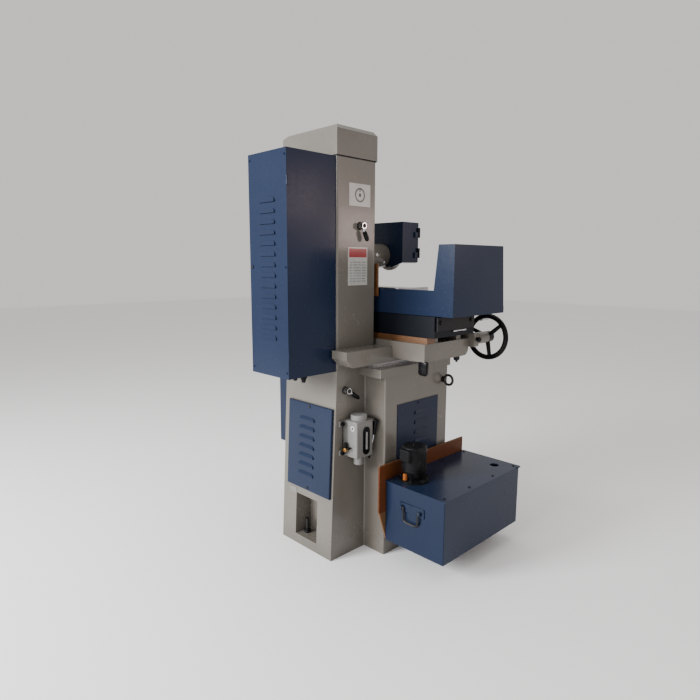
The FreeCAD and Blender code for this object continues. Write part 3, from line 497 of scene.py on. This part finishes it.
class Finishes:
    """Every material of the machine, made once."""

    def __init__(self) -> None:
        """Build the materials and list them by the record's slots."""
        self.grey = Enamel("grey_enamel", (0.132, 0.119, 0.103), 0.25, 0.00001, 0.0006).build()
        self.blue = Enamel("blue_enamel", (0.0095, 0.0165, 0.039), 0.25, 0.000006, 0.0003, 0.1, 0.04,
                           0.14).build()
        # The table's near-black colour is partly its own dark paint and partly painted shade, darkened to
        # the shadow that lies on the table under the guard.
        self.dark = Enamel("table_enamel_painted_shade", (0.003, 0.004, 0.007), 0.45, 0.00003, 0.0, 0.2, 0.0, 0.14).build()
        self.silver = Enamel("silver_enamel", (0.15, 0.145, 0.138), 0.30, 0.00001, 0.0, 0.3, 0.3).build()
        self.ground = Metal("ground_steel", (0.42, 0.42, 0.43), 0.28, (0.3, 3, 3), 0.15).build()
        self.oxide = Metal("dark_steel", (0.045, 0.045, 0.048), 0.42, (1, 1, 1), 0.4, 0.00008).build()
        self.chrome = Metal("chrome", (0.55, 0.55, 0.57), 0.12, (1, 1, 1), 0.12, 0.00001).build()
        self.iron = Metal("machined_iron", (0.03, 0.03, 0.033), 0.5, (1, 1, 3), 0.3).build()
        self.brass = Metal("brass", (0.62, 0.33, 0.10), 0.28, (1, 1, 3), 0.25).build()
        self.black = Moulded("black_plastic", (0.005, 0.005, 0.006), 0.45).build()
        self.gloss = Moulded("black_gloss", (0.004, 0.004, 0.005), 0.26, 0.00003, 0.08).build()
        self.milky = Moulded("milky_plastic", (0.20, 0.20, 0.195), 0.28, 0.00002, 0.2).build()
        self.red = Moulded("red_plastic", (0.28, 0.010, 0.010), 0.28, 0.00002, 0.05).build()
        self.green = Moulded("green_plastic", (0.02, 0.22, 0.06), 0.28, 0.00002, 0.05).build()
        self.copper = Moulded("orange_plastic", (0.30, 0.085, 0.018), 0.35, 0.00003, 0.1).build()
        self.white = Moulded("white_print", (0.50, 0.50, 0.48), 0.3, 0.00001, 0.1).build()
        self.rubber = Moulded("rubber", (0.012, 0.012, 0.012), 0.7, 0.0001, 0.2).build()
        self.strip = OiledStrip().build()
        self.board = Board().build()
        self.abrasive = Abrasive().build()
        self.chuck = ChuckFace().build()
        self.plates = PrintedPlates().build()
        self.floor = StageFloor().build()
        self.by_slot = {
            "grey_paint": self.grey, "blue_paint": self.blue, "dark_paint": self.dark,
            "silver_paint": self.silver, "ground_steel": self.ground, "dark_steel": self.oxide,
            "chromed": self.chrome, "cast_grey": self.iron, "black_plastic": self.black,
            "black_gloss": self.gloss, "clear_grey_plastic": self.milky, "red_plastic": self.red,
            "green_plastic": self.green, "label_white": self.plates, "brown_way": self.strip,
            "brown_board": self.board, "belt_rubber": self.rubber, "abrasive": self.abrasive,
        }
        self.by_node = {"magnetic_chuck": self.chuck}

    def dress_frame(self) -> None:
        """Give every CAD node the finish of its slot."""
        slots = {row["node"]: row["material_slot"] for row in frame["record"]["subparts"]}
        for name, piece in frame["nodes"].items():
            finish = self.by_node.get(name, self.by_slot[slots[name]])
            for spot in piece.material_slots:
                spot.material = finish
            if not piece.material_slots:
                piece.data.materials.append(finish)


# -------------------------------------------------------------------------- shapes


class Maker:
    """Models new pieces with Blender's own operators and hands them to bodies."""

    def __init__(self, finishes: Finishes) -> None:
        """Keep the finishes at hand."""
        self.finishes = finishes

    @staticmethod
    def deselect() -> None:
        """Leave edit mode and select nothing."""
        if bpy.context.object and bpy.context.object.mode != "OBJECT":
            bpy.ops.object.mode_set(mode="OBJECT")
        bpy.ops.object.select_all(action="DESELECT")

    @staticmethod
    def settle(piece: bpy.types.Object) -> None:
        """Put a piece's place into its mesh and point its faces outwards."""
        Maker.deselect()
        piece.select_set(True)
        bpy.context.view_layer.objects.active = piece
        bpy.ops.object.transform_apply(location=True, rotation=True, scale=True)
        bpy.ops.object.mode_set(mode="EDIT")
        bpy.ops.mesh.select_all(action="SELECT")
        bpy.ops.mesh.normals_make_consistent(inside=False)
        bpy.ops.object.mode_set(mode="OBJECT")

    @staticmethod
    def bevel(piece: bpy.types.Object, width: float, segments: int = 3) -> None:
        """Round a piece's sharp edges.

        Args:
            piece: The mesh object.
            width: The bevel's width in metres.
            segments: Its number of steps.
        """
        Maker.deselect()
        piece.select_set(True)
        bpy.context.view_layer.objects.active = piece
        step = piece.modifiers.new("edges", "BEVEL")
        step.width, step.segments = width, segments
        step.limit_method, step.angle_limit = "ANGLE", math.radians(40)
        bpy.ops.object.modifier_apply(modifier=step.name)

    def box(self, low: Point, high: Point, bevel: float = 0.0) -> bpy.types.Object:
        """Return a box between two corners.

        Args:
            low: Its lowest corner in millimetres.
            high: Its highest corner in millimetres.
            bevel: The rounding of its edges in millimetres.

        Returns:
            The new mesh object.
        """
        self.deselect()
        centre = [(a + b) / 2 * MM for a, b in zip(low, high)]
        size = [(b - a) * MM for a, b in zip(low, high)]
        bpy.ops.mesh.primitive_cube_add(size=1, location=centre, scale=size)
        piece = bpy.context.object
        self.settle(piece)
        if bevel:
            self.bevel(piece, bevel * MM)
        return piece

    def turned(self, axis: Axis | Vector, start: Point, profile: Sequence[tuple[float, float]],
               sides: int = 32) -> bpy.types.Object:
        """Return a turned solid, made by extruding and resizing its end face.

        Args:
            axis: The direction that the profile runs in, as an axis or a vector.
            start: The middle of its first face in millimetres.
            profile: Radius and distance along the axis, in millimetres.
            sides: The number of flats.

        Returns:
            The new mesh object.
        """
        self.deselect()
        direction = axis.value if isinstance(axis, Axis) else axis.normalized()
        turn = Vector((0, 0, 1)).rotation_difference(direction).to_euler()
        origin = Vector(start) * MM
        first_radius, first_along = profile[0]
        bpy.ops.mesh.primitive_circle_add(vertices=sides, radius=first_radius * MM, fill_type="NGON",
                                          location=origin + direction * first_along * MM, rotation=turn)
        piece = bpy.context.object
        bpy.ops.object.mode_set(mode="EDIT")
        bpy.ops.mesh.select_all(action="SELECT")
        radius, along = first_radius, first_along
        for next_radius, next_along in profile[1:]:
            step = direction * (next_along - along) * MM
            bpy.ops.mesh.extrude_region_move(TRANSFORM_OT_translate={"value": step})
            ratio = next_radius / radius
            centre = origin + direction * next_along * MM
            bpy.ops.transform.resize(value=(ratio,) * 3, center_override=centre)
            radius, along = next_radius, next_along
        bpy.ops.object.mode_set(mode="OBJECT")
        self.settle(piece)
        return piece

    def panel(self, low: Point, high: Point, face: Vector, margin: float, rise: float,
              bevel: float = 0.0) -> bpy.types.Object:
        """Return a box with one face inset and then raised or sunk.

        Args:
            low: Its lowest corner in millimetres.
            high: Its highest corner in millimetres.
            face: The direction that the worked face looks in.
            margin: The inset from the face's edges in millimetres.
            rise: How far the inset face is raised, or sunk if negative.
            bevel: The rounding of its edges in millimetres.

        Returns:
            The new mesh object.
        """
        piece = self.box(low, high)
        bpy.ops.object.mode_set(mode="EDIT")
        bpy.ops.mesh.select_mode(type="FACE")
        bpy.ops.mesh.select_all(action="DESELECT")
        bpy.ops.object.mode_set(mode="OBJECT")
        for polygon in piece.data.polygons:
            polygon.select = polygon.normal.dot(face) > 0.9
        bpy.ops.object.mode_set(mode="EDIT")
        bpy.ops.mesh.inset(thickness=margin * MM, depth=0)
        bpy.ops.transform.translate(value=face * rise * MM)
        self.settle(piece)
        if bevel:
            self.bevel(piece, bevel * MM, 2)
        return piece

    def screw(self, axis: Axis | Vector, at: Point, radius: float, facing: int = 1) -> bpy.types.Object:
        """Return a socket screw's head.

        Args:
            axis: The line that the screw runs along.
            at: The middle of the head's underside in millimetres.
            radius: The head's radius in millimetres.
            facing: 1 if the head looks along the axis, -1 if against it.

        Returns:
            The new mesh object.
        """
        steps = [(1, -0.1), (1, 0.45), (0.88, 0.6), (0.5, 0.6), (0.46, 0.15)]
        profile = [(radius * r, radius * along * facing) for r, along in steps]
        return self.turned(axis, at, profile, 20)

    def pipe(self, points: Sequence[Point], radius: float, round_off: bool = True) -> bpy.types.Object:
        """Return a bent round bar.

        Args:
            points: The line's corners in millimetres.
            radius: The bar's radius in millimetres.
            round_off: Whether the bends are smooth.

        Returns:
            The new mesh object.
        """
        self.deselect()
        bpy.ops.curve.primitive_nurbs_path_add(location=(0, 0, 0))
        piece = bpy.context.object
        piece.data.splines.clear()
        spline = piece.data.splines.new("NURBS" if round_off else "POLY")
        spline.points.add(len(points) - 1)
        for spot, point in zip(spline.points, points):
            spot.co = (*(c * MM for c in point), 1)
        if round_off:
            spline.order_u, spline.use_endpoint_u = 3, True
        piece.data.bevel_depth, piece.data.bevel_resolution = radius * MM, 4
        piece.data.resolution_u, piece.data.use_fill_caps = 8, True
        bpy.ops.object.convert(target="MESH")
        piece = bpy.context.object
        bpy.ops.object.mode_set(mode="EDIT")
        bpy.ops.mesh.select_all(action="SELECT")
        bpy.ops.mesh.remove_doubles(threshold=1e-6)
        bpy.ops.object.mode_set(mode="OBJECT")
        self.settle(piece)
        return piece

    @staticmethod
    def copy(piece: bpy.types.Object, move: Matrix) -> bpy.types.Object:
        """Return a moved copy with its own mesh.

        Args:
            piece: The piece to copy.
            move: The transform of the copy's mesh.

        Returns:
            The copy.
        """
        twin = piece.copy()
        twin.data = piece.data.copy()
        bpy.context.collection.objects.link(twin)
        twin.data.transform(move)
        if move.determinant() < 0:
            twin.data.flip_normals()
        return twin

    @staticmethod
    def joined(pieces: Sequence[bpy.types.Object]) -> bpy.types.Object:
        """Return the pieces as one object."""
        Maker.deselect()
        for piece in pieces:
            piece.select_set(True)
        bpy.context.view_layer.objects.active = pieces[0]
        if len(pieces) > 1:
            bpy.ops.object.join()
        return bpy.context.view_layer.objects.active

    def give(self, piece: bpy.types.Object, name: str, body: str, finish: bpy.types.Material,
             smooth: bool = True) -> bpy.types.Object:
        """Name, dress and attach a finished piece.

        Args:
            piece: The mesh object.
            name: Its name.
            body: The body that carries it.
            finish: Its material.
            smooth: Whether its curved faces are shaded smooth.

        Returns:
            The same object.
        """
        piece.name = name
        piece.data.materials.clear()
        piece.data.materials.append(finish)
        if smooth:
            self.deselect()
            piece.select_set(True)
            bpy.context.view_layer.objects.active = piece
            bpy.ops.object.shade_smooth_by_angle(angle=math.radians(35))
        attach(piece, body)
        LOG.info("%s on %s: %d faces", name, body, len(piece.data.polygons))
        return piece


# ------------------------------------------------------------------ detail pieces


@dataclass(frozen=True)
class ColumnTrim:
    """The seal under the cap, the clamp levers' sleeves and their washers.

    Attributes:
        face: The x of the column's left face, in millimetres.
        levers: The body, stud (y, z) and tip (y, z) of each clamp lever.
    """

    face: float = -157
    levers: tuple[tuple[str, float, float, float, float], ...] = (
        ("column_clamp_lever", 150, 1338, 131, 1290),
        ("base_clamp_lever", 228, 698, 179, 666),
    )

    def build(self, maker: Maker) -> None:
        """Model the pieces.

        Args:
            maker: Makes and attaches them.
        """
        f = maker.finishes
        seal = maker.panel((-158.6, 60.4, 1585), (158.6, 271.6, 1590), Vector((0, 0, -1)), 4, -2, 0.8)
        maker.give(seal, "cap_seal", "base", f.rubber)
        for body, y, z, tip_y, tip_z in self.levers:
            start = Vector((self.face - 14, y, z))
            run = Vector((self.face - 20, tip_y, tip_z)) - start
            reach = run.length
            sleeve = maker.turned(run, start,
                                  [(6.6, 0.42 * reach), (8.4, 0.48 * reach), (9.2, 0.7 * reach),
                                   (8.6, 1.02 * reach), (6.5, 1.16 * reach), (3, 1.2 * reach)], 24)
            maker.give(sleeve, f"{body}_sleeve", body, f.gloss)
            seat = (self.face, y, z)
            rings = [maker.turned(Axis.X, seat, [(12.2, -19), (13.6, -20), (13.6, -23), (12.2, -24)], 28),
                     maker.turned(Axis.X, seat, [(8, -25.8), (9, -27), (5, -30), (2, -30.5)], 24)]
            maker.give(maker.joined(rings), f"{body}_rings", body, f.oxide)
            washer = maker.turned(Axis.X, seat, [(16, -0.1), (16, -2.4), (14.6, -3.2), (12.2, -3.2)], 28)
            maker.give(washer, f"{body}_washer", "base", f.oxide)


@dataclass(frozen=True)
class CabinetTrim:
    """Screws on the cabinet's door and the lock in its latch."""

    def build(self, maker: Maker) -> None:
        """Model the pieces.

        Args:
            maker: Makes and attaches them.
        """
        f = maker.finishes
        screws = [maker.screw(Axis.Y, (x, 501, z), 4.2) for x in (-140, 66) for z in (800, 1180, 1563)
                  if (x, z) != (66, 1180)]
        maker.give(maker.joined(screws), "door_screws", "cabinet_door", f.blue)
        lock = maker.turned(Axis.Y, (62, 503.8, 1180),
                            [(5.4, -0.6), (5.4, 0.5), (4.6, 1.1), (2.0, 1.1), (1.8, 0.2)], 24)
        maker.give(lock, "latch_lock", "cabinet_latch", f.oxide)


@dataclass(frozen=True)
class PumpTrim:
    """Fittings of the hand lubrication pump.

    Attributes:
        clamp: The x and y of the clamp screws, in millimetres.
        clamp_heights: Their heights.
    """

    clamp: tuple[float, float] = (-165, 249)
    clamp_heights: tuple[float, float] = (447, 566)

    def build(self, maker: Maker) -> None:
        """Model the pieces.

        Args:
            maker: Makes and attaches them.
        """
        f = maker.finishes
        x, y = self.clamp
        rings = [maker.turned(Axis.X, (x, y, z),
                              [(10, 0.2), (10.5, -4), (8.5, -6.5), (4.5, -6.5), (4, -2)], 28)
                 for z in self.clamp_heights]
        rod = maker.pipe([(x - 5, y + 4, z) for z in self.clamp_heights], 1.8, False)
        maker.give(maker.joined([*rings, rod]), "pump_clamp", "base", f.gloss)

        sticker = maker.turned(Axis.Y, (-205, 232, 551),
                               [(11, -0.1), (11, 0.6), (10.5, 0.9), (4, 0.9), (4, 0.7)], 40)
        maker.give(sticker, "pump_sticker", "base", f.white)
        dot = maker.turned(Axis.Y, (-205, 232, 551), [(4.4, 0.4), (4.4, 1.1), (3.8, 1.3)], 24)
        maker.give(dot, "pump_sticker_dot", "base", f.gloss)

        outlet = maker.turned(Axis.Y, (-178, 232, 462),
                              [(9, -0.2), (9, 5), (6, 5.6), (6, 9), (8.4, 9.6), (8.4, 19), (6, 21), (3, 21),
                               (3, 14)], 24)
        maker.give(outlet, "pump_outlet", "base", f.brass)
        elbow = [maker.turned(Axis.Z, (-178, 243, 464),
                              [(5, 0), (6.5, 2), (6.5, 22), (5, 27), (2.5, 28)], 20),
                 maker.turned(Axis.Y, (-196, 232, 470), [(4, -0.2), (4, 8), (6, 9), (6, 16), (4, 18)], 20)]
        maker.give(maker.joined(elbow), "pump_elbow", "base", f.gloss)

        tube = maker.turned(Axis.Z, (-232.4, 180, 462), [(3.5, 0), (5.2, 3), (5.2, 69), (3.5, 72)], 20)
        maker.give(tube, "pump_sight_tube", "base", f.milky)
        lever = maker.pipe([(-205, 130.5, 424), (-207, 130.5, 432), (-225, 130.5, 514)], 4.3)
        maker.give(lever, "pump_lever_rod", "lube_pump_lever", f.chrome)
        rim = maker.panel((-231, 139, 572), (-158, 233, 578), Vector((0, 0, 1)), 5, 2.4, 1.2)
        maker.give(rim, "pump_rim", "base", f.silver)


@dataclass(frozen=True)
class SaddleTrim:
    """Dark fittings on the saddle, and the blank plate under the rear cover."""

    def build(self, maker: Maker) -> None:
        """Model the pieces.

        Args:
            maker: Makes and attaches them.
        """
        f = maker.finishes
        down = Vector((0, 0, -1))
        spout = maker.panel((-417, 30, 774), (-378, 47.5, 820), down, 5, 9, 3)
        maker.give(spout, "drain_spout", "saddle", f.gloss)
        block = maker.panel((-389, -216, 798), (-370, -196, 818.5), down, 4, 3, 1.5)
        bolt = maker.turned(Axis.Z, (-379.5, -206, 798), [(5, 0), (5, -8), (4, -9.5)], 6)
        maker.give(maker.joined([block, bolt]), "way_clamp", "saddle", f.iron)
        knob = maker.turned(Axis.X, (-434, -268, 884),
                            [(6, 0.5), (6, -3), (9.5, -5), (10.5, -14), (8.5, -18), (4, -19)], 28)
        maker.give(knob, "bearing_knob", "saddle", f.gloss)
        plate = maker.panel((70, 292, 220), (113, 296.8, 244), Vector((0, 1, 0)), 3, -0.6, 0.4)
        maker.give(plate, "blank_plate", "base", f.silver)


@dataclass(frozen=True)
class TableTrim:
    """The bar at the table's end and the chuck's rails."""

    def build(self, maker: Maker) -> None:
        """Model the pieces.

        Args:
            maker: Makes and attaches them.
        """
        f = maker.finishes
        bar = maker.turned(Axis.Y, (-442, -172, 935),
                           [(3, 0), (5, 2), (5, 20), (4, 21), (4, 64), (5, 65), (5, 84), (3, 86)], 24)
        maker.give(bar, "end_bar", "table", f.chrome)
        left = maker.panel((-230, -196, 1056), (-224.8, -10, 1097), Vector((-1, 0, 0)), 6, -1.2, 0.8)
        rear = maker.panel((-214, -3.2, 1058), (214, 1.8, 1098), Vector((0, 1, 0)), 6, -1.2, 0.8)
        screws = [maker.screw(Axis.X, (-228.8, y, 1074), 5, -1) for y in (-170, -36)]
        screws += [maker.screw(Axis.Y, (x, 0.6, 1074), 5) for x in (-180, 0, 180)]
        maker.give(maker.joined([left, rear, *screws]), "chuck_rails", "table", f.ground)


@dataclass(frozen=True)
class WheelTrim:
    """Hub caps of the handwheels and the dials behind the two feed wheels.

    Attributes:
        wheels: Body and hub (x, y, z) of each handwheel, in millimetres.
    """

    wheels: tuple[tuple[str, float, float, float], ...] = (
        ("table_wheel", -408, -390, 882), ("cross_wheel", -110, -352, 695),
        ("elevating_wheel", 110, -352, 695),
    )

    def build(self, maker: Maker) -> None:
        """Model the pieces.

        Args:
            maker: Makes and attaches them.
        """
        f = maker.finishes
        for body, x, y, z in self.wheels:
            cap = maker.turned(Axis.Y, (x, y - 18, z),
                               [(17, 0.2), (17, -3), (14, -6), (7, -7.5), (6, -5)], 32)
            maker.give(cap, f"{body}_cap", body, f.chrome)
            if body != "table_wheel":
                dial = maker.turned(Axis.Y, (x, -336, z),
                                    [(30.5, 0), (33.5, 1.5), (34.5, 14), (32.5, 16), (30.5, 16)], 48)
                maker.give(dial, f"{body}_dial", body, f.ground)


@dataclass(frozen=True)
class HeadTrim:
    """Screws on the spindle sleeve, black hinge sleeves on the guard and the apron's folds.

    Attributes:
        hinge: The x and y of the guard's hinge pin, in millimetres.
    """

    hinge: tuple[float, float] = (-124, -254)

    def build(self, maker: Maker) -> None:
        """Model the pieces.

        Args:
            maker: Makes and attaches them.
        """
        f = maker.finishes
        level = maker.screw(Axis.X, (-51.6, -61, 1231), 6.5, -1)
        lower = maker.screw(Vector((-43.8, 0, -28)), (-43.4, -114, 1201.4), 6.5)
        gib = [maker.screw(Axis.X, (-95, 32, z), 5.5, -1) for z in (1180, 1255, 1330)]
        maker.give(maker.joined([level, lower, *gib]), "head_screws", "head", f.chrome)
        x, y = self.hinge
        for body, heights in (("head", (1219.6, 1307.6)), ("guard_cover", (1244.4, 1332.4))):
            long = 24.6 if body == "head" else 18.4
            profile = [(6, 0), (7.2, 1.2), (7.2, long - 1.2), (6, long)]
            sleeves = [maker.turned(Axis.Z, (x, y, z), profile, 24) for z in heights]
            maker.give(maker.joined(sleeves), f"{body}_hinge_sleeves", body, f.gloss)
        folds = [maker.panel((-159, 40, z), (159, 42.6, z + 11), Vector((0, -1, 0)), 3, 1.6, 0.8)
                 for z in range(1065, 1140, 13)]
        maker.give(maker.joined(folds), "apron_folds", "head", f.strip)


@dataclass(frozen=True)
class TankTrim:
    """The tank handle's plate, the lid's tab and the coolant pump's fittings.

    Attributes:
        pump: The x and y of the pump's axis, in millimetres.
        lid: The height of the lid's top.
    """

    pump: tuple[float, float] = (-360, 36)
    lid: float = 333

    def build(self, maker: Maker) -> None:
        """Model the pieces.

        Args:
            maker: Makes and attaches them.
        """
        f = maker.finishes
        x, y = self.pump
        plate = maker.panel((-487, 123.8, 234), (-366, 127.6, 270), Vector((0, 1, 0)), 5, 0.9, 0.8)
        rivets = [maker.screw(Axis.Y, (rx, 127.8, 264), 3) for rx in (-482, -426, -371)]
        maker.give(maker.joined([plate, *rivets]), "handle_plate", "base", f.blue)
        tab = maker.panel((-584, -404, 326.5), (-575, -386, 335.5), Vector((0, 0, 1)), 1.5, -1, 0.8)
        maker.give(tab, "lid_tab", "base", f.blue)

        bolts = []
        for quarter in range(4):
            turn = math.radians(25 + 90 * quarter)
            spot = (x + 55 * math.cos(turn), y + 55 * math.sin(turn), self.lid + 9)
            bolts.append(maker.turned(Axis.Z, spot, [(5.5, -0.2), (5.5, 4), (4.6, 5)], 6))
        maker.give(maker.joined(bolts), "pump_bolts", "base", f.oxide)
        crown = maker.turned(Axis.Z, (x, y, self.lid),
                             [(49.5, 122), (51.6, 123), (51.6, 129), (50.4, 131), (47, 140), (38, 145.5),
                              (36, 143.5), (10, 143.5), (9, 146)], 48)
        band = maker.turned(Axis.Z, (x, y, self.lid), [(49.6, 48), (51.2, 49), (51.2, 54), (49.6, 55)], 48)
        maker.give(maker.joined([crown, band]), "pump_crown", "base", f.gloss)
        fitting = maker.turned(Axis.Z, (x + 8, y + 44, self.lid + 8),
                               [(9.4, 0), (9.4, 8), (8.2, 9), (9.6, 13), (8.6, 15), (9.6, 19), (8.6, 21),
                                (9.2, 24), (6.5, 27), (5, 24)], 24)
        maker.give(fitting, "pump_fitting", "base", f.copper)


@dataclass(frozen=True)
class ControlTrim:
    """The plate behind the operator's controls and the screws of the box's cover."""

    def build(self, maker: Maker) -> None:
        """Model the pieces.

        Args:
            maker: Makes and attaches them.
        """
        f = maker.finishes
        plate = maker.panel((279, -19.4, 548), (363, -17.8, 728), Vector((0, -1, 0)), 4, -0.5, 0.4)
        maker.give(plate, "control_plate", "base", f.silver)
        screws = [maker.screw(Axis.X, (371.8, y, z), 5) for y in (-2, 134) for z in (371, 729)]
        maker.give(maker.joined(screws), "control_screws", "base", f.oxide)


DETAILS = (ColumnTrim(), CabinetTrim(), PumpTrim(), SaddleTrim(), TableTrim(), WheelTrim(), HeadTrim(),
           TankTrim(), ControlTrim())


# --------------------------------------------------------------------------- stage


@dataclass
class Stage:
    """Camera, lights and floor."""

    camera_at: Point = (-1.7033, 1.7103, 1.1939)
    look: Point = (0.70694, -0.69026, -0.15421)
    roll: float = 0.22
    lens: float = 28.47

    def build(self, finishes: Finishes) -> None:
        """Set the stage.

        Args:
            finishes: Supplies the floor's material.
        """
        Maker.deselect()
        camera = bpy.data.cameras.new("camera")
        camera.lens, camera.sensor_width, camera.clip_end = self.lens, 36, 60
        holder = bpy.data.objects.new("camera", camera)
        bpy.context.collection.objects.link(holder)
        turn = Vector(self.look).to_track_quat("-Z", "Y")
        holder.matrix_world = (Matrix.Translation(self.camera_at) @ turn.to_matrix().to_4x4()
                               @ Matrix.Rotation(math.radians(self.roll), 4, "Z"))
        bpy.context.scene.camera = holder

        bpy.ops.mesh.primitive_plane_add(size=30, location=(0, 0, -0.0005))
        floor = bpy.context.object
        floor.name = "floor"
        floor.data.materials.append(finishes.floor)

        world = bpy.data.worlds.new("studio")
        bpy.context.scene.world = world
        world.use_nodes = True
        world.node_tree.nodes["Background"].inputs["Color"].default_value = (1, 0.97, 0.945, 1)
        world.node_tree.nodes["Background"].inputs["Strength"].default_value = 0.8

        self.lamp("rear_key", (1.2, 4.0, 2.1), (0, 0.1, 0.9), 1.5, 320, (0.97, 0.985, 1))
        self.lamp("rear_fill", (-0.4, 4.0, 2.4), (0, 0, 1.0), 1.2, 70, (0.97, 0.985, 1))
        self.lamp("left_window", (-3.7, -2.42, 1.96), (-0.2, 0.1, 1.1), 0.5, 9, (1, 0.68, 0.6))
        self.lamp("far_window", (-3.7, -3.4, 1.6), (-0.2, 0.1, 1.1), 0.5, 12, (1, 0.76, 0.7))
        self.lamp("overhead", (0.3, -0.6, 4.6), (0, 0, 1), 3.0, 30, (1, 1, 1))

    @staticmethod
    def lamp(name: str, at: Point, aim: Point, size: float, power: float, colour: Colour) -> None:
        """Add a soft square light.

        Args:
            name: The light's name.
            at: Its place.
            aim: What it points at.
            size: Its side in metres.
            power: Its power in watts.
            colour: Its colour.
        """
        light = bpy.data.lights.new(name, "AREA")
        light.shape, light.size, light.energy, light.color = "SQUARE", size, power, colour
        holder = bpy.data.objects.new(name, light)
        bpy.context.collection.objects.link(holder)
        turn = (Vector(aim) - Vector(at)).to_track_quat("-Z", "Y")
        holder.matrix_world = Matrix.Translation(at) @ turn.to_matrix().to_4x4()


def main() -> None:
    """Build everything in order."""
    logging.basicConfig(level=logging.INFO, format="%(name)s: %(message)s")
    finishes = Finishes()
    finishes.dress_frame()
    maker = Maker(finishes)
    for detail in DETAILS:
        detail.build(maker)
    Stage().build(finishes)


if __name__ == "__main__":
    main()
